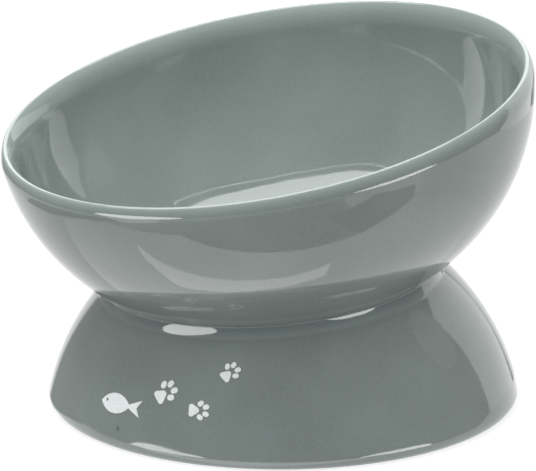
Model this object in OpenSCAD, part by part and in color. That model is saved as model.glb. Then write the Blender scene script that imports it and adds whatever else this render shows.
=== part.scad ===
// Raised ceramic pet bowl: a round bowl that leans towards its low side, cast in one
// piece with a domed, hollow foot. The origin is the middle of the foot on the floor,
// +Z is up, the low side of the rim faces -X and the printed front faces -Y.

/* [Rim and bowl] */
// Outside diameter of the rim
rim_d = 150; // [146:0.5:154]
// Height of the middle of the rim above the floor
rim_h = 86.1; // [83:0.1:90]
// How far the middle of the rim stands from the middle of the foot, towards the low side
rim_shift = 4.9; // [0:0.1:8]
// Lean of the bowl towards its low side, in degrees
lean = 10.3; // [5:0.1:13]
// Radius of the curve that the outside follows from the rim to the underside
side_r = 60.2; // [58:0.1:62]
// Outside depth of the bowl, from the rim down to its flat underside
bowl_depth = 57.4; // [55.5:0.1:58]
// Thickness of the bowl's wall and floor
bowl_wall = 5; // [4:0.1:6.5]

/* [Lip] */
// Radius of the lip's round top
lip_r = 1.6; // [1.2:0.1:1.9]
// Radius of the soft shoulder between the lip and the inside of the wall
shoulder_r = 10; // [6:0.5:14]

/* [Foot] */
// Diameter of the ball that the outside of the foot is part of
dome_d = 132.6; // [129:0.2:136]
// How far the middle of that ball lies below the floor
dome_drop = 11; // [8:0.5:14]
// Thickness of the foot's wall
foot_wall = 5.5; // [5:0.1:7]
// Radius of the round outer edge at the bottom of the foot
edge_r = 2.5; // [1.5:0.1:3]
// Radius of the round inner edge at the bottom of the foot
inner_edge_r = 1; // [0.5:0.1:1.5]
// Radius of the hollow that glaze leaves in the crease between bowl and foot
crease_r = 2.2; // [1.6:0.1:3]

/* [Print] */
// Thickness of the printed colour
print_t = 0.15; // [0.1:0.01:0.3]
// Width of the largest paw
paw_w = 6; // [4:0.1:8]
// Length of the fish
fish_l = 15; // [10:0.5:18]
// Height of the fish's body
fish_h = 5.6; // [4:0.1:7]
// Diameter of the fish's eye
eye_d = 0.9; // [0.6:0.1:1.2]

/* [Hidden] */

glaze = "#848d8a";
print_white = "#dfe3e0";
// Facets of a full turn, for large rounds and for the print's small ones
turn = 180;
small_turn = 60;
// How far a cutting shape reaches past what it cuts
past = 10;
// How far two rounds that touch reach past each other, so that no gap is left
sunk = 0.001;

// Middle of the side's curve, measured on the bowl's own axis with the rim at height 0
side_x = rim_d / 2 - side_r;
side_y = side_r - bowl_depth;
inside_r = side_r - bowl_wall;
// How far the air inside the lip fans out from the line through its middle, in degrees
lip_fan = 20;

// Middle of the lip's round top, which touches the side's curve from within
lip_x = side_x + sqrt(pow(side_r - lip_r, 2) - pow(side_y + lip_r, 2));
lip_y = -lip_r;
lip_dir = atan2(lip_y - side_y, lip_x - side_x);

// Middle of the shoulder, which touches the inside of the wall and holds the lip's round
side_mid = [side_x, side_y];
lip_mid = [lip_x, lip_y];
shoulder_mid = meet(side_mid, inside_r + shoulder_r - sunk,
                    lip_mid, shoulder_r - lip_r + sunk, -1);
tip_dir = heading(shoulder_mid, lip_mid);

// The foot's outer and inner ball, and the middles of its two bottom edges
dome_r = dome_d / 2;
hollow_r = dome_r - foot_wall;
ball_mid = [0, -dome_drop];
edge_mid = [sqrt(pow(dome_r - edge_r, 2) - pow(dome_drop + edge_r, 2)), edge_r];
inner_mid = [sqrt(pow(hollow_r + inner_edge_r - sunk, 2) - pow(dome_drop + inner_edge_r, 2)),
             inner_edge_r];

// The crease: a small ball that rolls round it touches both the bowl and the foot. Its
// middle is worked out on the high and the low side, in the plane of symmetry.
lean_out = [cos(lean), sin(lean)];
lean_up = [-sin(lean), cos(lean)];
rim_mid = [-rim_shift, rim_h];
high_mid = rim_mid + side_x * lean_out + side_y * lean_up;
low_mid = rim_mid - side_x * lean_out + side_y * lean_up;
roll_high = meet(ball_mid, dome_r + crease_r, high_mid, side_r + crease_r, -1);
roll_low = meet(ball_mid, dome_r + crease_r, low_mid, side_r + crease_r, 1);
ring_mid = (roll_high + roll_low) / 2;
ring_r = norm(roll_high - roll_low) / 2;
ring_lean = heading(roll_low, roll_high);
to_foot = heading(roll_high, ball_mid) - ring_lean;
to_bowl = heading(roll_high, high_mid) - ring_lean;
to_crease = heading([0, 0], [cos(to_foot) + cos(to_bowl), sin(to_foot) + sin(to_bowl)]);
// How far the crease's hollow cuts into the two surfaces that it joins, and how far its
// section reaches into them
crease_bite = 0.2;
crease_reach = 1.5 * crease_r;

// The prints lie between the floor and the crease's low side, where they can reach so
// far from their middle. Each has an azimuth, a share of that height, a turn in its own
// plane and, for a paw, its width as a share of the largest.
print_reach = 0.85 * paw_w;
print_room = roll_low[1] - crease_reach - 2 * print_reach;
paw_places = [
    [-143.8, 0.63, -45, 1],
    [-133.6, 0.51, -85, 0.86],
    [-126, 0.99, -42, 0.82]
];
fish_place = [-158, 0.38, 3];

// The paw's pad, as shares of its width: two heel lobes and a front lobe
heel_side_share = 0.2;
heel_back_share = 0.17;
heel_r_share = 0.14;
front_ahead_share = 0.1;
front_r_share = 0.17;
// The toes, as shares of the paw's width, and their directions from straight ahead
toe_long_share = 0.36;
toe_wide_share = 0.27;
inner_toe_share = 0.68;
inner_toe_dir = 16;
outer_toe_share = 0.5;
outer_toe_dir = 47;
outer_toe_lean = 35;

// The fish: its body's share of the length, where the tail starts on the body, the
// tail's height as a share of the body's, the fork's depth as a share of the tail, and
// the eye's place as shares of the body's length and height
body_l_share = 0.74;
tail_start_share = 0.36;
tail_h_share = 0.85;
fork_share = 0.3;
eye_place = [-0.3, 0.08];

// Direction from one point to another
function heading(from, to) = atan2(to[1] - from[1], to[0] - from[0]);

// The point that lies in a direction from another
function away(from, dist, dir) = from + dist * [cos(dir), sin(dir)];

// The point at two given distances from two others, on the left (1) or right (-1) of
// the line from the first to the second
function meet(a, a_dist, b, b_dist, hand) =
    let (gap = norm(b - a),
         turn_off = acos((gap * gap + a_dist * a_dist - b_dist * b_dist)
                         / (2 * gap * a_dist)))
    away(a, a_dist, heading(a, b) + hand * turn_off);

// Places a shape drawn on the bowl's own axis
module leaning() {
    translate([-rim_shift, 0, rim_h])
        rotate([0, -lean, 0])
            children();
}

// A round drawn at a point of a profile
module disc(mid, r) {
    translate(mid)
        circle(r = r, $fn = turn);
}

// The bowl's profile filled in to its axis, shrunk by an inset, up to the rim
module filled_profile(inset) {
    intersection() {
        union() {
            disc(side_mid, side_r - inset);
            translate([0, inset - bowl_depth])
                square([side_x, bowl_depth]);
        }
        translate([0, -bowl_depth - past])
            square([rim_d, bowl_depth + past]);
    }
}

// Section of the bowl's wall: side, lip, shoulder, inside and floor
module wall_profile() {
    lip_core = away(lip_mid, lip_r / 2, tip_dir);
    tip = away(lip_core, past, tip_dir - lip_fan);
    difference() {
        filled_profile(0);
        disc(side_mid, inside_r);
        translate([0, side_y - inside_r])
            square([side_x, inside_r]);
        // Hollow between the shoulders
        difference() {
            polygon([[0, side_y], side_mid, shoulder_mid, lip_core, tip, [0, tip[1]]]);
            disc(shoulder_mid, shoulder_r);
        }
        // Air above the lip's round
        polygon([
            away(lip_mid, past, lip_dir), lip_mid, away(lip_mid, past, tip_dir),
            [rim_d, past], [rim_d, lip_y]
        ]);
    }
    disc(lip_mid, lip_r);
}

// Outside of the foot: the ball down to the round edge, then the flat bottom
module dome_profile() {
    touch = away(ball_mid, dome_r + past, heading(ball_mid, edge_mid));
    intersection() {
        disc(ball_mid, dome_r);
        polygon([
            [0, 0], [edge_mid[0], 0], edge_mid, touch, [touch[0], dome_r], [0, dome_r]
        ]);
    }
    disc(edge_mid, edge_r);
}

// Hollow of the foot, flared at the bottom by the round inner edge
module hollow_profile() {
    difference() {
        union() {
            intersection() {
                disc(ball_mid, hollow_r);
                translate(ball_mid)
                    square(dome_r);
            }
            polygon([ball_mid, inner_mid, [inner_mid[0], -dome_drop]]);
        }
        disc(inner_mid, inner_edge_r);
    }
}

// Section of the fillet that glaze makes in the crease
module crease_profile() {
    roll = [ring_r, 0];
    difference() {
        polygon([
            roll, away(roll, crease_reach, to_foot),
            away(roll, 2 * crease_reach, to_crease),
            away(roll, crease_reach, to_bowl)
        ]);
        disc(roll, crease_r + crease_bite);
    }
}

module bowl_wall_ring() {
    leaning()
        rotate_extrude($fn = turn)
            wall_profile();
}

// The foot ends inside the thickness of the bowl's wall
module foot() {
    difference() {
        rotate_extrude($fn = turn)
            dome_profile();
        rotate_extrude($fn = turn)
            hollow_profile();
        leaning()
            rotate_extrude($fn = turn)
                filled_profile(bowl_wall / 2);
    }
}

module crease_fillet() {
    translate([ring_mid[0], 0, ring_mid[1]])
        rotate([0, -ring_lean, 0])
            rotate_extrude($fn = turn)
                crease_profile();
}

module bowl() {
    color(glaze)
        union() {
            bowl_wall_ring();
            foot();
            crease_fillet();
        }
}

// Lays a flat figure on the foot, at its place, as a thin skin of the foot's outside
module printed(place) {
    azimuth = place[0];
    height = print_reach + print_room * place[1];
    spin = place[2];
    color(print_white)
        intersection() {
            translate([0, 0, -dome_drop])
                rotate([0, -asin((height + dome_drop) / dome_r), azimuth])
                    translate([dome_r - past, 0, 0])
                        rotate([90, 0, 90])
                            linear_extrude(2 * past)
                                rotate(spin)
                                    children();
            translate([0, 0, -dome_drop])
                difference() {
                    sphere(r = dome_r + print_t, $fn = turn);
                    sphere(r = dome_r, $fn = turn);
                }
        }
}

// A toe: a short round-ended bar that points away from the pad
module toe(w) {
    wide = toe_wide_share * w;
    straight = toe_long_share * w - wide;
    for (end = [-1, 1])
        translate([0, end * straight / 2])
            circle(d = wide, $fn = small_turn);
    square([wide, straight], center = true);
}

// A paw of a given width: a pad of three lobes and four toes in a fan
module paw(w) {
    hull() {
        for (side = [-1, 1])
            translate([side * heel_side_share * w, -heel_back_share * w])
                circle(r = heel_r_share * w, $fn = small_turn);
        translate([0, front_ahead_share * w])
            circle(r = front_r_share * w, $fn = small_turn);
    }
    for (side = [-1, 1]) {
        rotate(side * outer_toe_dir)
            translate([0, outer_toe_share * w])
                rotate(side * (outer_toe_lean - outer_toe_dir))
                    toe(w);
        rotate(side * inner_toe_dir)
            translate([0, inner_toe_share * w])
                toe(w);
    }
}

module paw_prints() {
    for (place = paw_places)
        printed(place)
            paw(place[3] * paw_w);
}

// A plain fish: a body between two equal arcs, a forked tail and an eye
module fish() {
    body_l = body_l_share * fish_l;
    arc_r = (pow(body_l / 2, 2) + pow(fish_h / 2, 2)) / fish_h;
    tail_h = tail_h_share * fish_h;
    tail_end = fish_l - body_l / 2;
    difference() {
        union() {
            intersection() {
                translate([0, fish_h / 2 - arc_r])
                    circle(r = arc_r, $fn = turn);
                translate([0, arc_r - fish_h / 2])
                    circle(r = arc_r, $fn = turn);
            }
            polygon([
                [tail_start_share * body_l, 0],
                [tail_end, tail_h / 2],
                [tail_end - fork_share * tail_h, 0],
                [tail_end, -tail_h / 2]
            ]);
        }
        translate([eye_place[0] * body_l, eye_place[1] * fish_h])
            circle(d = eye_d, $fn = small_turn);
    }
}

module fish_print() {
    printed(fish_place)
        fish();
}

bowl();
paw_prints();
fish_print();
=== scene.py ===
"""Raised ceramic pet bowl: its looks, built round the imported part."""

import math

import bpy
import numpy as np
from mathutils import Matrix, Vector, noise


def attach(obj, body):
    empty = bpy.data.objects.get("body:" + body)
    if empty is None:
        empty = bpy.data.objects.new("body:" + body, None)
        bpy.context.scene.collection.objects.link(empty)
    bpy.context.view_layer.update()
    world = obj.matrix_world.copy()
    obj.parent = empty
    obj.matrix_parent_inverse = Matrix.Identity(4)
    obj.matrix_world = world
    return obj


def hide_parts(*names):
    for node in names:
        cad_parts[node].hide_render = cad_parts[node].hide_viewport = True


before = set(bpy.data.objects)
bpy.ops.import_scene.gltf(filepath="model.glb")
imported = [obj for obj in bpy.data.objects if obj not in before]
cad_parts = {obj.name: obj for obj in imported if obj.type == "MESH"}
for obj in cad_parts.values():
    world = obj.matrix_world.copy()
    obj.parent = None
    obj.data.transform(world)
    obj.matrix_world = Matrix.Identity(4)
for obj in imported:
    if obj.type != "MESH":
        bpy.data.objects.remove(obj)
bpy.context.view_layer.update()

MM = 0.001
scene = bpy.context.scene


# The camera stands where the photographer's did: degrees, then metres
VIEW_AZIMUTH = -19.938
VIEW_HEIGHT = 17.626
VIEW_ROLL = -0.308
VIEW_DISTANCE = 5.0
# What the picture spans from side to side at the bowl
FIELD_WIDTH = 0.14774
SENSOR_WIDTH = 36
CLIP_START = 0.1
CLIP_END = 50
# The point in the middle of the picture: so far right of and above a spot on the axis
AIM_HEIGHT = 0.050
AIM_RIGHT = -0.004066
AIM_UP = -0.002611


def unit(azimuth, height):
    """Direction of a compass turn from the front (-Y) and a height, in degrees."""
    a = math.radians(azimuth)
    h = math.radians(height)
    return Vector((math.sin(a) * math.cos(h), -math.cos(a) * math.cos(h), math.sin(h)))


def view_axes():
    """Right, up and back directions of the camera."""
    back = unit(VIEW_AZIMUTH, VIEW_HEIGHT)
    right = unit(VIEW_AZIMUTH + 90, 0)
    up = back.cross(right)
    roll = math.radians(VIEW_ROLL)
    return (
        right * math.cos(roll) + up * math.sin(roll),
        up * math.cos(roll) - right * math.sin(roll),
        back,
    )


def place_camera():
    """The camera, aimed so that the bowl fills the picture as in the photo."""
    right, up, back = view_axes()
    aim = Vector((0, 0, AIM_HEIGHT)) + right * AIM_RIGHT + up * AIM_UP
    data = bpy.data.cameras.new("camera")
    data.sensor_fit = "HORIZONTAL"
    data.sensor_width = SENSOR_WIDTH
    data.lens = SENSOR_WIDTH * VIEW_DISTANCE / FIELD_WIDTH
    data.clip_start = CLIP_START
    data.clip_end = CLIP_END
    camera = bpy.data.objects.new("camera", data)
    turn = Matrix((right, up, back)).transposed().to_4x4()
    camera.matrix_world = Matrix.Translation(aim + back * VIEW_DISTANCE) @ turn
    scene.collection.objects.link(camera)
    scene.camera = camera


place_camera()

# Sizes of the part's source, in millimetres, and its lean
RIM_R = 75
RIM_H = 86.1
RIM_SHIFT = 4.9
LEAN = math.radians(10.3)
SIDE_R = 60.2
BOWL_DEPTH = 57.4
BOWL_WALL = 5
SHOULDER_R = 10
DOME_R = 66.3
DOME_DROP = 11
FOOT_WALL = 5.5
EDGE_R = 2.5
INNER_EDGE_R = 1
CREASE_R = 2.2
# The round in the crease inside the hollow foot, which the source leaves sharp
INNER_CREASE_R = 3

SIDE_X = RIM_R - SIDE_R
SIDE_Y = SIDE_R - BOWL_DEPTH
SIDE_MID = (SIDE_X, SIDE_Y)
INSIDE_R = SIDE_R - BOWL_WALL
HOLLOW_R = DOME_R - FOOT_WALL
EDGE_X = math.sqrt((DOME_R - EDGE_R) ** 2 - (DOME_DROP + EDGE_R) ** 2)
INNER_X = math.sqrt((HOLLOW_R + INNER_EDGE_R) ** 2 - (DOME_DROP + INNER_EDGE_R) ** 2)

# The bowl's own axes, the middle of its rim, and the middle of the foot's ball
OUT = np.array([math.cos(LEAN), 0, math.sin(LEAN)])
SIDE = np.array([0.0, 1.0, 0.0])
UP = np.array([-math.sin(LEAN), 0, math.cos(LEAN)])
RIM_MID = np.array([-RIM_SHIFT, 0, RIM_H])
BALL_MID = np.array([0, 0, -DOME_DROP])

# The lip as it looks: a narrow crest that rolls out into a broad round
CREST_X = 73
CREST_R = 1.0
ROLL_R = 7
# The crease's round is flattened towards a straight slope, from this share of it on,
# and the slope reaches this far onto the foot
CREASE_FLAT = 0.9
CREASE_FROM = 0.2
CREASE_REACH = 0.5

# How finely the surface is cut: round it, and along each stretch of its profile
MERIDIANS = 256
FLOOR_STEPS = 9
WALL_STEPS = 60
BEND_STEPS = 12
CREASE_STEPS = 21
FOOT_STEPS = 50
RING_STEPS = 4
INNER_EDGE_STEPS = 8
HOLLOW_STEPS = 36
INNER_CREASE_STEPS = 10
UNDER_STEPS = 30
# The rings where the crest is palest, partly thin glaze and partly painted highlight, and where
# the crease is darkest, from the crest's and crease's start
CREST_AT = 3
CREASE_AT = 5

DOWN = -math.pi / 2


def bearing(a, b):
    """The turn of the line from one point of a profile to another."""
    return math.atan2(b[1] - a[1], b[0] - a[0])


def meet(a, a_dist, b, b_dist):
    """The point at two distances from two others, on the right of the line between them."""
    gap = math.dist(a, b)
    off = math.acos((gap**2 + a_dist**2 - b_dist**2) / (2 * gap * a_dist))
    turn = bearing(a, b) - off
    return (a[0] + a_dist * math.cos(turn), a[1] + a_dist * math.sin(turn))


def arc(mid, r, start, end, steps):
    """Points of a profile's arc, one column for each step, from angles that may be lists."""
    t = np.linspace(0, 1, steps)
    turn = np.multiply.outer(start, 1 - t) + np.multiply.outer(end, t)
    return mid[0] + r * np.cos(turn), mid[1] + r * np.sin(turn)


def outward(theta):
    """Directions at right angles to the bowl's own axis."""
    return np.multiply.outer(np.cos(theta), OUT) + np.multiply.outer(np.sin(theta), SIDE)


def on_bowl(theta, rho, y):
    """Points of rings on the bowl's own axis, at radii and heights along it."""
    rho = np.broadcast_to(rho, (len(theta),) + np.shape(rho)[-1:])
    y = np.broadcast_to(y, rho.shape)
    return RIM_MID + rho[..., None] * outward(theta)[:, None, :] + y[..., None] * UP


def onward(theta, stretch):
    """A stretch of the bowl's profile as rings, without the one that it starts on."""
    rho, y = stretch
    return on_bowl(theta, rho[..., 1:], y[..., 1:])


def on_ball(r, azimuth, height):
    """Points on a ball round the foot's ball centre."""
    azimuth = np.broadcast_to(azimuth, height.shape)
    flat = r * np.cos(height)
    spot = np.stack([flat * np.cos(azimuth), flat * np.sin(azimuth), r * np.sin(height)], -1)
    return spot + BALL_MID


def on_foot(azimuth, rho, z):
    """Points of rings on the foot's axis, at radii and heights."""
    rho = np.broadcast_to(rho, (len(azimuth),) + np.shape(rho)[-1:])
    z = np.broadcast_to(z, rho.shape)
    a = azimuth[:, None]
    return np.stack([rho * np.cos(a), rho * np.sin(a), z], -1)


def rolling_ball(theta, side_gap, ball_dist):
    """The middles of balls that touch the bowl's side, and the turns where they touch it.

    Their middles lie at one distance from the side and at another from the foot's ball centre.
    """
    radial = outward(theta)
    mid = RIM_MID + SIDE_X * radial + SIDE_Y * UP
    reach = SIDE_R + side_gap
    apart = mid - BALL_MID
    a = (apart * radial).sum(1)
    b = apart @ UP
    k = (ball_dist**2 - (apart**2).sum(1) - reach**2) / (2 * reach)
    turn = np.arctan2(b, a) - np.arccos(k / np.hypot(a, b))
    out = radial * np.cos(turn)[:, None] + np.multiply.outer(np.sin(turn), UP)
    return mid + reach * out, turn


def from_ball_mid(points, distance):
    """Directions to points from the foot's ball centre, with their turns and heights."""
    way = (points - BALL_MID) / distance
    return way, np.unwrap(np.arctan2(way[:, 1], way[:, 0])), np.arcsin(way[:, 2])


def round_between(centre, r, start, end, steps):
    """Arcs of a rolling ball from its touch on one surface to its touch on the other."""
    a = (start - centre) / r
    b = (end - centre) / r
    whole = np.arccos(np.clip((a * b).sum(1), -1, 1))[:, None]
    t = np.linspace(0, 1, steps)[None, :]
    share_a = np.sin((1 - t) * whole) / np.sin(whole)
    share_b = np.sin(t * whole) / np.sin(whole)
    return centre[:, None, :] + r * (
        share_a[..., None] * a[:, None, :] + share_b[..., None] * b[:, None, :]
    )


def flattened(rounds, ends, flat, start):
    """Arcs drawn out to new ends, and towards their chords from a share of their length on."""
    steps = rounds.shape[1]
    first = round(start * (steps - 1))
    t = np.linspace(0, 1, steps - first)[None, :, None]
    chord = rounds[:, first : first + 1] * (1 - t) + ends[:, None] * t
    longer = rounds[:, first:] + (ends[:, None] - rounds[:, -1:]) * t
    drawn = longer * (1 - flat) + chord * flat
    return np.concatenate([rounds[:, :first], drawn], 1)


def count(rows):
    """How many rings some rows hold."""
    return sum(r.shape[1] for r in rows)


def dish_rows(theta):
    """The dish, its shoulder and the lip, with the crest's row and the turn the lip ends at."""
    crest_mid = (CREST_X, -CREST_R)
    shoulder = meet(SIDE_MID, INSIDE_R + SHOULDER_R, crest_mid, SHOULDER_R - CREST_R)
    to_shoulder = bearing(SIDE_MID, shoulder)
    tip = bearing(shoulder, crest_mid)
    roll_mid = meet(SIDE_MID, SIDE_R - ROLL_R, crest_mid, ROLL_R - CREST_R)
    crest_out = bearing(roll_mid, crest_mid)
    lip_out = bearing(SIDE_MID, roll_mid)
    rows = [on_bowl(theta, np.linspace(0, SIDE_X, FLOOR_STEPS)[1:], SIDE_Y - INSIDE_R)]
    rows.append(onward(theta, arc(SIDE_MID, INSIDE_R, DOWN, to_shoulder, WALL_STEPS)))
    rows.append(onward(theta, arc(shoulder, SHOULDER_R, to_shoulder + math.pi, tip, BEND_STEPS)))
    crest_row = count(rows) + CREST_AT
    rows.append(onward(theta, arc(crest_mid, CREST_R, tip, crest_out, BEND_STEPS)))
    rows.append(onward(theta, arc(roll_mid, ROLL_R, crest_out, lip_out, BEND_STEPS)))
    return rows, crest_row, lip_out


def outside_rows(theta, lip_out):
    """The outside of the bowl and the crease, with the turns and heights the foot starts at."""
    roll, touch = rolling_ball(theta, CREASE_R, DOME_R + CREASE_R)
    start = np.full(MERIDIANS, lip_out)
    side = onward(theta, arc(SIDE_MID, SIDE_R, start, touch, WALL_STEPS))
    to_foot, azimuth, height = from_ball_mid(roll, DOME_R + CREASE_R)
    on_dome = BALL_MID + DOME_R * to_foot
    crease = round_between(roll, CREASE_R, side[:, -1], on_dome, CREASE_STEPS)
    height = height - CREASE_REACH / DOME_R
    ends = on_ball(DOME_R, azimuth, height)
    crease = flattened(crease, ends, CREASE_FLAT, CREASE_FROM)
    return [side, crease[:, 1:]], azimuth, height


def foot_rows(azimuth, height):
    """The foot from the crease down to the floor."""
    edge_turn = math.atan2(EDGE_R + DOME_DROP, EDGE_X)
    t = np.linspace(0, 1, FOOT_STEPS)[1:]
    heights = np.multiply.outer(height, 1 - t) + edge_turn * t
    edge = arc((EDGE_X, EDGE_R), EDGE_R, edge_turn, DOWN, BEND_STEPS)
    return [
        on_ball(DOME_R, azimuth[:, None], heights),
        on_foot(azimuth, edge[0][1:], edge[1][1:]),
    ]


def hollow_rows(theta, azimuth):
    """The hollow of the foot, its crease and the bowl's underside."""
    inner_turn = math.atan2(INNER_EDGE_R + DOME_DROP, INNER_X)
    inner = arc(
        (INNER_X, INNER_EDGE_R),
        INNER_EDGE_R,
        DOWN + 2 * math.pi,
        inner_turn + math.pi,
        INNER_EDGE_STEPS,
    )
    roll, touch = rolling_ball(theta, INNER_CREASE_R, HOLLOW_R - INNER_CREASE_R)
    to_hollow, top_azimuth, top_height = from_ball_mid(roll, HOLLOW_R - INNER_CREASE_R)
    t = np.linspace(0, 1, HOLLOW_STEPS)[1:]
    ease = t * t * (3 - 2 * t)
    azimuths = np.multiply.outer(azimuth, 1 - ease) + np.multiply.outer(top_azimuth, ease)
    heights = inner_turn * (1 - t) + np.multiply.outer(top_height, t)
    on_hollow = BALL_MID + HOLLOW_R * to_hollow
    under = arc(SIDE_MID, SIDE_R, touch, np.full(MERIDIANS, DOWN), UNDER_STEPS)
    underside = on_bowl(theta, *under)
    crease = round_between(roll, INNER_CREASE_R, on_hollow, underside[:, 0], INNER_CREASE_STEPS)
    return [
        on_foot(azimuth, inner[0][1:], inner[1][1:]),
        on_ball(HOLLOW_R, azimuths, heights),
        crease[:, 1:],
        underside[:, 1:],
        on_bowl(theta, np.linspace(SIDE_X, 0, FLOOR_STEPS)[1:-1], SIDE_Y - SIDE_R),
    ]


def bowl_rows():
    """The whole surface as rows of points, from the dish's middle to the underside's.

    With them, the span of rows that is bare clay, and the rows of the crest and the crease.
    """
    theta = np.linspace(0, 2 * math.pi, MERIDIANS, endpoint=False)
    rows, crest_row, lip_out = dish_rows(theta)
    (side, crease), azimuth, height = outside_rows(theta, lip_out)
    rows.append(side)
    crease_row = count(rows) + CREASE_AT
    rows.append(crease)
    rows += foot_rows(azimuth, height)
    bare_from = count(rows)
    rows.append(on_foot(azimuth, np.linspace(EDGE_X, INNER_X, RING_STEPS)[1:], 0.0))
    bare_to = count(rows)
    rows += hollow_rows(theta, azimuth)
    return np.concatenate(rows, 1), (bare_from, bare_to), (crest_row, crease_row)


# The casting isn't quite even: its surface wanders in by up to this much
WANDER = 0.11 * MM
WANDER_SCALE = 30
# It doesn't at the floor or so near the prints' middle, and does in full from this height
# up and at twice that distance
FLOOR_KEEP = 8 * MM
PRINT_SPOT = Vector((-0.046, -0.042, 0.016))
PRINT_KEEP = 0.028
# How far the crest's paler band, partly thin glaze and partly painted highlight, and the
# crease's darker band spread along the profile, in millimetres
THIN_AND_HIGHLIGHT_REACH = 2.6
CREASE_DARK_REACH = 2.2


def wandered(vertex):
    """A vertex moved in along its normal by slow noise, less near the floor and prints."""
    wave = 0.5 + 0.5 * noise.noise(vertex.co * WANDER_SCALE)
    by_floor = min(1, max(0, vertex.co.z / FLOOR_KEEP))
    by_print = min(1, max(0, (vertex.co - PRINT_SPOT).length / PRINT_KEEP - 1))
    return vertex.co - vertex.normal * (WANDER * wave * by_floor * by_print)


def nearness(rows, row, reach):
    """How near each point lies to one row along its profile, from 1 there down to 0."""
    steps = np.linalg.norm(np.diff(rows, axis=1), axis=2)
    along = np.concatenate([np.zeros((len(rows), 1)), np.cumsum(steps, axis=1)], 1)
    gap = along - along[:, row : row + 1]
    return np.exp(-((gap / reach) ** 2))


def build_bowl():
    """The bowl's mesh, with its bare ring and its marks for the crest's paler band, partly thin
    glaze and partly painted highlight, and for the crease's darker band.
    """
    rows, (bare_from, bare_to), (crest_row, crease_row) = bowl_rows()
    rings = rows.shape[1]
    poles = np.array([RIM_MID + (SIDE_Y - r) * UP for r in (INSIDE_R, SIDE_R)])
    points = np.concatenate([rows.reshape(-1, 3), poles]) * MM
    first_pole = MERIDIANS * rings
    faces = []
    bare = []
    for i in range(MERIDIANS):
        here = i * rings
        there = (i + 1) % MERIDIANS * rings
        faces.append((first_pole, here, there))
        faces += [(here + j, here + j + 1, there + j + 1, there + j) for j in range(rings - 1)]
        faces.append((first_pole + 1, there + rings - 1, here + rings - 1))
        bare += [0] + [int(bare_from <= j < bare_to) for j in range(1, rings)] + [0]
    mesh = bpy.data.meshes.new("glazed_bowl")
    mesh.from_pydata(points.tolist(), [], faces)
    mesh.polygons.foreach_set("material_index", bare)
    mesh.polygons.foreach_set("use_smooth", [True] * len(faces))
    mesh.update()
    moved = [wandered(v) for v in mesh.vertices]
    mesh.vertices.foreach_set("co", np.array(moved).ravel())
    # Marks: the crest's paler band, partly thin glaze and partly painted highlight, and the
    # crease's darker band
    glaze_marks = (
        ("thin_glaze_and_painted_highlight", crest_row, THIN_AND_HIGHLIGHT_REACH),
        ("crease_darker", crease_row, CREASE_DARK_REACH),
    )
    for name, row, reach in glaze_marks:
        values = np.append(nearness(rows, row, reach).ravel(), [0, 0])
        layer = mesh.attributes.new(name, "FLOAT", "POINT")
        layer.data.foreach_set("value", values.astype(np.float32))
    mesh.validate()
    mesh.update()
    bowl = bpy.data.objects.new("glazed_bowl", mesh)
    scene.collection.objects.link(bowl)
    return bowl


bowl = build_bowl()
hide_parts("bowl")
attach(bowl, "root")


# Helpers that wire a material's nodes
def new_material(name):
    """A new material, its nodes and its shader."""
    material = bpy.data.materials.new(name)
    material.use_nodes = True
    tree = material.node_tree
    shader = tree.nodes["Principled BSDF"]
    return material, tree, shader


def feed(tree, socket, value):
    """Sets an input to a value, or links it to another node's output."""
    if isinstance(value, bpy.types.NodeSocket):
        tree.links.new(value, socket)
    else:
        socket.default_value = value


def add_node(tree, kind, **inputs):
    """A new node with its inputs set by name."""
    node = tree.nodes.new(kind)
    for name, value in inputs.items():
        feed(tree, node.inputs[name], value)
    return node


def place(tree):
    """The spot on the piece, in the metres of its own mesh."""
    return tree.nodes.new("ShaderNodeTexCoord").outputs["Object"]


def away_from(tree, spot):
    """How far each place on the piece lies from a spot, in metres."""
    node = tree.nodes.new("ShaderNodeVectorMath")
    node.operation = "DISTANCE"
    feed(tree, node.inputs[0], place(tree))
    feed(tree, node.inputs[1], spot)
    return node.outputs["Value"]


def grain(tree, scale, detail, roughness=0.5):
    """Noise of 0 to 1 over the piece."""
    node = add_node(
        tree,
        "ShaderNodeTexNoise",
        Vector=place(tree),
        Scale=scale,
        Detail=detail,
        Roughness=roughness,
    )
    return node.outputs["Fac"]


def ranged(tree, value, low, high, to_low, to_high):
    """A value carried from one range to another and held inside it."""
    node = tree.nodes.new("ShaderNodeMapRange")
    feed(tree, node.inputs["Value"], value)
    feed(tree, node.inputs["From Min"], low)
    feed(tree, node.inputs["From Max"], high)
    feed(tree, node.inputs["To Min"], to_low)
    feed(tree, node.inputs["To Max"], to_high)
    return node.outputs["Result"]


def mixed(tree, share, first, second):
    """A colour between two others."""
    node = tree.nodes.new("ShaderNodeMix")
    node.data_type = "RGBA"
    feed(tree, node.inputs[0], share)
    feed(tree, node.inputs[6], first)
    feed(tree, node.inputs[7], second)
    return node.outputs[2]


def bumped(tree, shader, height, depth):
    """The shader's surface raised by a height map, this many metres deep."""
    node = add_node(tree, "ShaderNodeBump", Height=height, Distance=depth, Strength=1.0)
    tree.links.new(node.outputs["Normal"], shader.inputs["Normal"])


def attribute(tree, name):
    """A value that the mesh carries at its points."""
    node = tree.nodes.new("ShaderNodeAttribute")
    node.attribute_name = name
    return node.outputs["Fac"]


# Finishes
# A grain is noise of some scale, detail and roughness. A range says which span of values
# becomes which other
GLAZE_DARK = (0.167, 0.199, 0.191, 1)
GLAZE_LIGHT = (0.199, 0.236, 0.226, 1)
# Pale glaze for the fine speckle, and on the crest partly thin glaze and partly a painted
# highlight
GLAZE_PALE = (0.27, 0.315, 0.302, 1)
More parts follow.
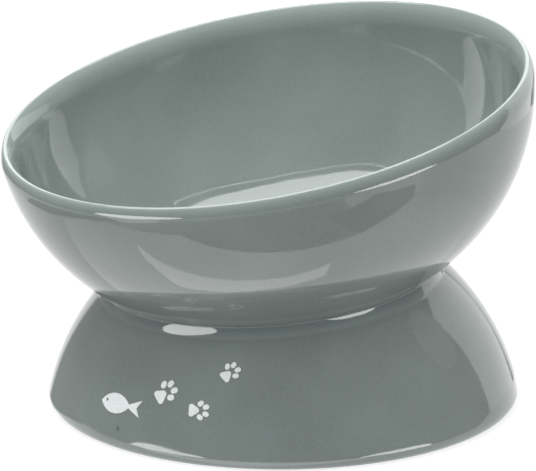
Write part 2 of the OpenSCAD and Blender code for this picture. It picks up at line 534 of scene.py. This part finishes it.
# Darker glaze colour for the crease
GLAZE_CREASE_DARK = (0.125, 0.158, 0.152, 1)
CLOUD_GRAIN = (38, 3)
CLOUD_RANGE = (0.3, 0.7, 0, 1)
FINE_GRAIN = (1400, 2)
FINE_RANGE = (0.35, 0.75, 0, 0.22)
THIN_AND_HIGHLIGHT_RANGE = (0, 1, 0, 0.75)
CREASE_DARK_RANGE = (0, 1, 0, 0.8)
GLOSS_GRAIN = (60, 2)
GLOSS_RANGE = (0.3, 0.7, 0.035, 0.075)
RIPPLE_GRAIN = (70, 3, 0.35)
RIPPLE_DEPTH = 0.09 * MM
# The one dark speck that the photo shows
SPECK_COLOUR = (0.03, 0.032, 0.034, 1)
SPECK_SPOT = (-0.05814, -0.02674, 0.00634)
SPECK_RANGE = (0.3 * MM, 0.85 * MM, 0.5, 0)
CLAY_DARK = (0.47, 0.43, 0.38, 1)
CLAY_LIGHT = (0.62, 0.58, 0.53, 1)
CLAY_TONE_GRAIN = (900, 4, 0.7)
CLAY_ROUGHNESS = 0.85
CLAY_GRAIN = (1500, 4, 0.7)
CLAY_DEPTH = 0.15 * MM
PRINT_DULL = (0.62, 0.67, 0.665, 1)
PRINT_WHITE = (0.81, 0.86, 0.855, 1)
PRINT_GRAIN = (1800, 3, 0.6)
PRINT_RANGE = (0.28, 0.5, 0, 1)
PRINT_GLOSS_GRAIN = (500, 2)
PRINT_GLOSS_RANGE = (0.3, 0.7, 0.12, 0.2)
PRINT_DEPTH = 0.01 * MM


def glaze_material():
    """Glossy glaze with slow clouds, paler on the crest, partly from thin glaze and partly as a
    painted highlight, and darker in the crease.
    """
    material, tree, shader = new_material("grey_glaze")
    clouds = ranged(tree, grain(tree, *CLOUD_GRAIN), *CLOUD_RANGE)
    colour = mixed(tree, clouds, GLAZE_DARK, GLAZE_LIGHT)
    fine = ranged(tree, grain(tree, *FINE_GRAIN), *FINE_RANGE)
    colour = mixed(tree, fine, colour, GLAZE_PALE)
    # The crest is lightened: partly thin glaze, partly a painted highlight along the lip
    thin = ranged(tree, attribute(tree, "thin_glaze_and_painted_highlight"), *THIN_AND_HIGHLIGHT_RANGE)
    colour = mixed(tree, thin, colour, GLAZE_PALE)
    # The crease is darkened
    darker_crease = ranged(tree, attribute(tree, "crease_darker"), *CREASE_DARK_RANGE)
    colour = mixed(tree, darker_crease, colour, GLAZE_CREASE_DARK)
    speck = ranged(tree, away_from(tree, SPECK_SPOT), *SPECK_RANGE)
    colour = mixed(tree, speck, colour, SPECK_COLOUR)
    tree.links.new(colour, shader.inputs["Base Color"])
    gloss = ranged(tree, grain(tree, *GLOSS_GRAIN), *GLOSS_RANGE)
    tree.links.new(gloss, shader.inputs["Roughness"])
    bumped(tree, shader, grain(tree, *RIPPLE_GRAIN), RIPPLE_DEPTH)
    return material


def bare_material():
    """Bare fired clay, as on the ring that the foot stands on."""
    material, tree, shader = new_material("bare_clay")
    colour = mixed(tree, grain(tree, *CLAY_TONE_GRAIN), CLAY_DARK, CLAY_LIGHT)
    tree.links.new(colour, shader.inputs["Base Color"])
    shader.inputs["Roughness"].default_value = CLAY_ROUGHNESS
    bumped(tree, shader, grain(tree, *CLAY_GRAIN), CLAY_DEPTH)
    return material


def print_material():
    """White print that covers the glaze a little unevenly."""
    material, tree, shader = new_material("white_print")
    cover = ranged(tree, grain(tree, *PRINT_GRAIN), *PRINT_RANGE)
    colour = mixed(tree, cover, PRINT_DULL, PRINT_WHITE)
    tree.links.new(colour, shader.inputs["Base Color"])
    gloss = ranged(tree, grain(tree, *PRINT_GLOSS_GRAIN), *PRINT_GLOSS_RANGE)
    tree.links.new(gloss, shader.inputs["Roughness"])
    bumped(tree, shader, grain(tree, *PRINT_GRAIN), PRINT_DEPTH)
    return material


bowl.data.materials.append(glaze_material())
bowl.data.materials.append(bare_material())
white = print_material()
for name in ("paw_prints", "fish_print"):
    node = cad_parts[name]
    node.data.materials.clear()
    node.data.materials.append(white)


# The studio: pieces that the camera sees, or that only the glaze mirrors
WHITE = (1, 1, 1, 1)
STAGE_ROUGHNESS = 0.9
CIRCLE_STEPS = 64
ARC_STEPS = 48


def stage_piece(name, corners, glow, faces=None, albedo=0.0):
    """A flat piece of the studio that glows evenly and may also be lit."""
    mesh = bpy.data.meshes.new(name)
    mesh.from_pydata([tuple(c) for c in corners], [], faces or [range(len(corners))])
    piece = bpy.data.objects.new(name, mesh)
    scene.collection.objects.link(piece)
    material, _, shader = new_material(name)
    shader.inputs["Base Color"].default_value = (albedo, albedo, albedo, 1)
    shader.inputs["Roughness"].default_value = STAGE_ROUGHNESS
    shader.inputs["Specular IOR Level"].default_value = 0.0
    shader.inputs["Emission Color"].default_value = WHITE
    shader.inputs["Emission Strength"].default_value = glow
    mesh.materials.append(material)
    return piece


def mirrored_piece(name, corners, glow, faces=None):
    """A studio piece that is seen in the glaze, and nowhere else."""
    piece = stage_piece(name, corners, glow, faces)
    piece.visible_camera = False
    piece.visible_diffuse = False
    piece.visible_transmission = False
    piece.visible_shadow = False
    return piece


def stage_shader(piece):
    """The nodes of a studio piece's material, and its shader."""
    tree = piece.data.materials[0].node_tree
    return tree, tree.nodes["Principled BSDF"]


def circle_turns():
    """Turns of the corners of a whole ellipse."""
    return np.linspace(0, 2 * math.pi, CIRCLE_STEPS, endpoint=False)


def ellipse(mid, across, up, turns):
    """Points of an ellipse at some turns."""
    return [mid + across * math.cos(a) + up * math.sin(a) for a in turns]


def faded(piece, spot, reach, tones):
    """Changes a studio piece's glow from one tone to another by distance from a spot."""
    tree, shader = stage_shader(piece)
    tone = ranged(tree, away_from(tree, spot), *reach, *tones)
    tree.links.new(tone, shader.inputs["Emission Strength"])


def shown_by(piece, reading, span, shares):
    """Shows a studio piece only in part, by what the light path that meets it says."""
    tree, shader = stage_shader(piece)
    path = tree.nodes.new("ShaderNodeLightPath")
    share = ranged(tree, path.outputs[reading], *span, *shares)
    tree.links.new(share, shader.inputs["Alpha"])


# The white floor, its half side in metres
FLOOR_HALF = 6
FLOOR_GLOW = 0.72
FLOOR_ALBEDO = 0.4
# Outlines of what lies round the foot as the glaze mirrors it: a table, a streak of light
# on it, a darker place beside it and a dark gap before it. They are in millimetres right
# of the axis and behind it
TABLE = (
    (-143, -8),
    (-141, -42),
    (-128, -68),
    (-98, -97),
    (-72, -114),
    (8, -108),
    (80, -99),
    (150, -92),
    (158, 26),
    (60, 26),
    (-60, -8),
)
STREAK = (
    (-92, -75),
    (-80, -68),
    (-62, -62),
    (-46, -56),
    (-28, -61),
    (-4, -66),
    (29, -69),
    (36, -80),
    (0, -77),
    (-24, -75),
    (-48, -73),
    (-72, -73),
)
BESIDE = ((-215, -100), (-146, -100), (-146, 70), (-215, 70))
GAP = ((66, -102), (150, -94), (180, -110), (132, -154), (60, -146))
# Their names, outlines, heights in millimetres and glows. The table's own glow fades
SHEETS = (
    ("beside", BESIDE, -1.0, 0.5),
    ("gap", GAP, -0.9, 0.3),
    ("table", TABLE, -0.6, 1),
    ("streak", STREAK, -0.3, 3.5),
)
TABLE_LIGHT_SPOT = (-30, -90)
TABLE_REACH = (0.03, 0.2)
TABLE_TONES = (2.05, 1.2)
# The ground below the table, in metres, and how it lightens away from a darker middle
GROUND_Z = -0.42
GROUND_R = 1.6
DARK_TURN = 10
DARK_OUT = 0.62
DARK_EDGE = (0.3, 0.8)
GROUND_TONES = (0.6, 1.2)


def on_table(outline, z):
    """Corners of a flat piece near the floor, turned with the camera."""
    right = unit(VIEW_AZIMUTH + 90, 0)
    behind = unit(VIEW_AZIMUTH + 180, 0)
    return [right * (x * MM) + behind * (y * MM) + Vector((0, 0, z)) for x, y in outline]


def build_floor():
    """The floor that the camera sees, and the table and ground that the glaze mirrors."""
    sides = ((-1, -1), (1, -1), (1, 1), (-1, 1))
    corners = [(x * FLOOR_HALF, y * FLOOR_HALF, 0) for x, y in sides]
    floor = stage_piece("floor", corners, FLOOR_GLOW, albedo=FLOOR_ALBEDO)
    floor.visible_glossy = False
    floor.visible_diffuse = False
    for name, outline, height, tone in SHEETS:
        z = height * MM
        sheet = mirrored_piece(name, on_table(outline, z), tone)
        if name == "table":
            faded(sheet, on_table([TABLE_LIGHT_SPOT], z)[0], TABLE_REACH, TABLE_TONES)
    low = Vector((0, 0, GROUND_Z))
    across = Vector((GROUND_R, 0, 0))
    along = Vector((0, GROUND_R, 0))
    ground = mirrored_piece("ground", ellipse(low, across, along, circle_turns()), 1)
    dark_spot = unit(VIEW_AZIMUTH + DARK_TURN, 0) * DARK_OUT + low
    faded(ground, dark_spot, DARK_EDGE, GROUND_TONES)


# What the glaze mirrors of the room, from behind the bowl to behind the camera
ROOM_TONES = ((0.0, 1.25), (0.032, 1.2), (0.044, 0.34), (0.3, 0.31), (0.5, 0.27), (1.0, 0.22))
# The even light on the bowl, from below the horizon and from above it
ROOM_LIGHT = (0.77, 1.05)
HORIZON = (-0.2, 0.2)


def build_world():
    """Even light, and for the glaze a room that is bright behind the bowl."""
    world = bpy.data.worlds.new("studio")
    world.use_nodes = True
    scene.world = world
    tree = world.node_tree
    soft = tree.nodes["Background"]
    soft.inputs["Color"].default_value = WHITE
    towards = tree.nodes.new("ShaderNodeVectorMath")
    towards.operation = "DOT_PRODUCT"
    towards.inputs[1].default_value = unit(VIEW_AZIMUTH, 0)
    way = tree.nodes.new("ShaderNodeTexCoord").outputs["Generated"]
    tree.links.new(way, towards.inputs[0])
    height = add_node(tree, "ShaderNodeSeparateXYZ", Vector=way).outputs["Z"]
    tree.links.new(ranged(tree, height, *HORIZON, *ROOM_LIGHT), soft.inputs["Strength"])
    share = ranged(tree, towards.outputs["Value"], -1, 1, 0, 1)
    tones = tree.nodes.new("ShaderNodeValToRGB")
    stops = tones.color_ramp.elements
    while len(stops) < len(ROOM_TONES):
        stops.new(0.5)
    for stop, (spot, tone) in zip(stops, ROOM_TONES):
        stop.position = spot
        stop.color = (tone, tone, tone, 1)
    tree.links.new(share, tones.inputs["Fac"])
    room = add_node(tree, "ShaderNodeBackground", Color=tones.outputs["Color"])
    choose = tree.nodes.new("ShaderNodeMixShader")
    path = tree.nodes.new("ShaderNodeLightPath")
    tree.links.new(path.outputs["Is Glossy Ray"], choose.inputs["Fac"])
    tree.links.new(soft.outputs["Background"], choose.inputs[1])
    tree.links.new(room.outputs["Background"], choose.inputs[2])
    tree.links.new(choose.outputs["Shader"], tree.nodes["World Output"].inputs["Surface"])


# The round lamp overhead. Its height is in metres, its place and half sizes are shares of
# that height, and its rim's width is a share of the rim's size
OVERHEAD_Z = 1.5
OVERHEAD_RIGHT = -0.25
OVERHEAD_FRONT = -0.3
OVERHEAD_FACE = (0.6, 0.385)
OVERHEAD_GLOW = 6.7
OVERHEAD_RIM = (0.7, 0.455)
OVERHEAD_RIM_GLOW = 9
OVERHEAD_RIM_WIDTH = 0.012
# The part of the rim that glows, in degrees from the lamp's right round by its front
OVERHEAD_RIM_ARC = (15, 175)


def overhead_lamp():
    """The round lamp above the dish: its face, and the thin bright rim round it."""
    right = unit(VIEW_AZIMUTH + 90, 0) * OVERHEAD_Z
    front = unit(VIEW_AZIMUTH, 0) * OVERHEAD_Z
    mid = Vector((0, 0, OVERHEAD_Z)) + right * OVERHEAD_RIGHT + front * OVERHEAD_FRONT
    face = ellipse(mid, right * OVERHEAD_FACE[0], front * OVERHEAD_FACE[1], circle_turns())
    mirrored_piece("overhead_face", face, OVERHEAD_GLOW)
    turns = np.radians(np.linspace(*OVERHEAD_RIM_ARC, ARC_STEPS))
    rim = []
    for size in (1, 1 + OVERHEAD_RIM_WIDTH):
        across = right * OVERHEAD_RIM[0] * size
        along = front * OVERHEAD_RIM[1] * size
        rim += ellipse(mid, across, along, turns)
    n = ARC_STEPS
    faces = [(i, i + 1, n + i + 1, n + i) for i in range(n - 1)]
    mirrored_piece("overhead_rim", rim, OVERHEAD_RIM_GLOW, faces)


# Lamps' faces. Each has a turn from the camera and a height in degrees, a distance in
# metres, half a width and half a height in degrees, a glow and a kind. A near one is
# mirrored only by what is close to it, so that it doesn't whiten the far edges of the
# bowl. A deep one shows only where the glaze mirrors itself, as inside the dish
PANELS = (
    ("low_left", -54, -8.3, 0.35, 19, 5, 9, "near"),
    ("left_echo", -60, -20, 0.34, 15, 7, 2.7, "round"),
    ("low_right", 51, -8.4, 0.35, 18, 4.2, 9.5, "near"),
    ("right_echo", 50, -21, 0.34, 17, 8, 1.5, "round"),
    ("tall_right", 136, 6, 1.2, 19, 23, 1.5, "squared"),
    ("side_right", 106, 27, 1.2, 10, 12, 0.6, "round"),
    ("back_glow", 180, 30, 1.5, 22, 18, 3, "round"),
    ("deep_left", -82, 28.4, 0.1137, 17, 13, 18, "deep"),
    ("deep_right", 73, 42.3, 0.135, 15.5, 11, 16, "deep"),
)
# How far a near one is mirrored in full and not at all, in metres
NEAR_SPAN = (0.322, 0.33)


def panel(name, azimuth, height, distance, half_width, half_height, glow, kind):
    """A lamp's face that looks at the bowl."""
    azimuth += VIEW_AZIMUTH
    half_across = distance * math.tan(math.radians(half_width))
    half_up = distance * math.tan(math.radians(half_height))
    across = unit(azimuth + 90, 0) * half_across
    up = unit(azimuth, height + 90) * half_up
    mid = Vector((0, 0, AIM_HEIGHT)) + unit(azimuth, height) * distance
    if kind == "squared":
        corners = [mid - across - up, mid + across - up, mid + across + up, mid - across + up]
    else:
        corners = ellipse(mid, across, up, circle_turns())
    lamp = mirrored_piece(name, corners, glow)
    if kind == "near":
        shown_by(lamp, "Ray Length", NEAR_SPAN, (1, 0))
    if kind == "deep":
        shown_by(lamp, "Glossy Depth", (1, 2), (0, 1))


# Soft light from nearly overhead, to the left: its power, and its size and distance in metres
FILL_POWER = 9.5
FILL_SIZE = 0.7
FILL_DISTANCE = 1.2
FILL_TURN = -80
FILL_HEIGHT = 80


def fill_lamp():
    """A lamp that only brightens what it falls on, and isn't mirrored."""
    data = bpy.data.lights.new("fill", "AREA")
    data.shape = "DISK"
    data.size = FILL_SIZE
    data.energy = FILL_POWER
    lamp = bpy.data.objects.new("fill", data)
    away = unit(VIEW_AZIMUTH + FILL_TURN, FILL_HEIGHT)
    lamp.location = away * FILL_DISTANCE
    lamp.rotation_euler = away.to_track_quat("Z", "Y").to_euler()
    lamp.visible_glossy = False
    lamp.visible_camera = False
    scene.collection.objects.link(lamp)


scene.view_settings.view_transform = "Standard"
build_floor()
build_world()
overhead_lamp()
fill_lamp()
for lamp in PANELS:
    panel(*lamp)
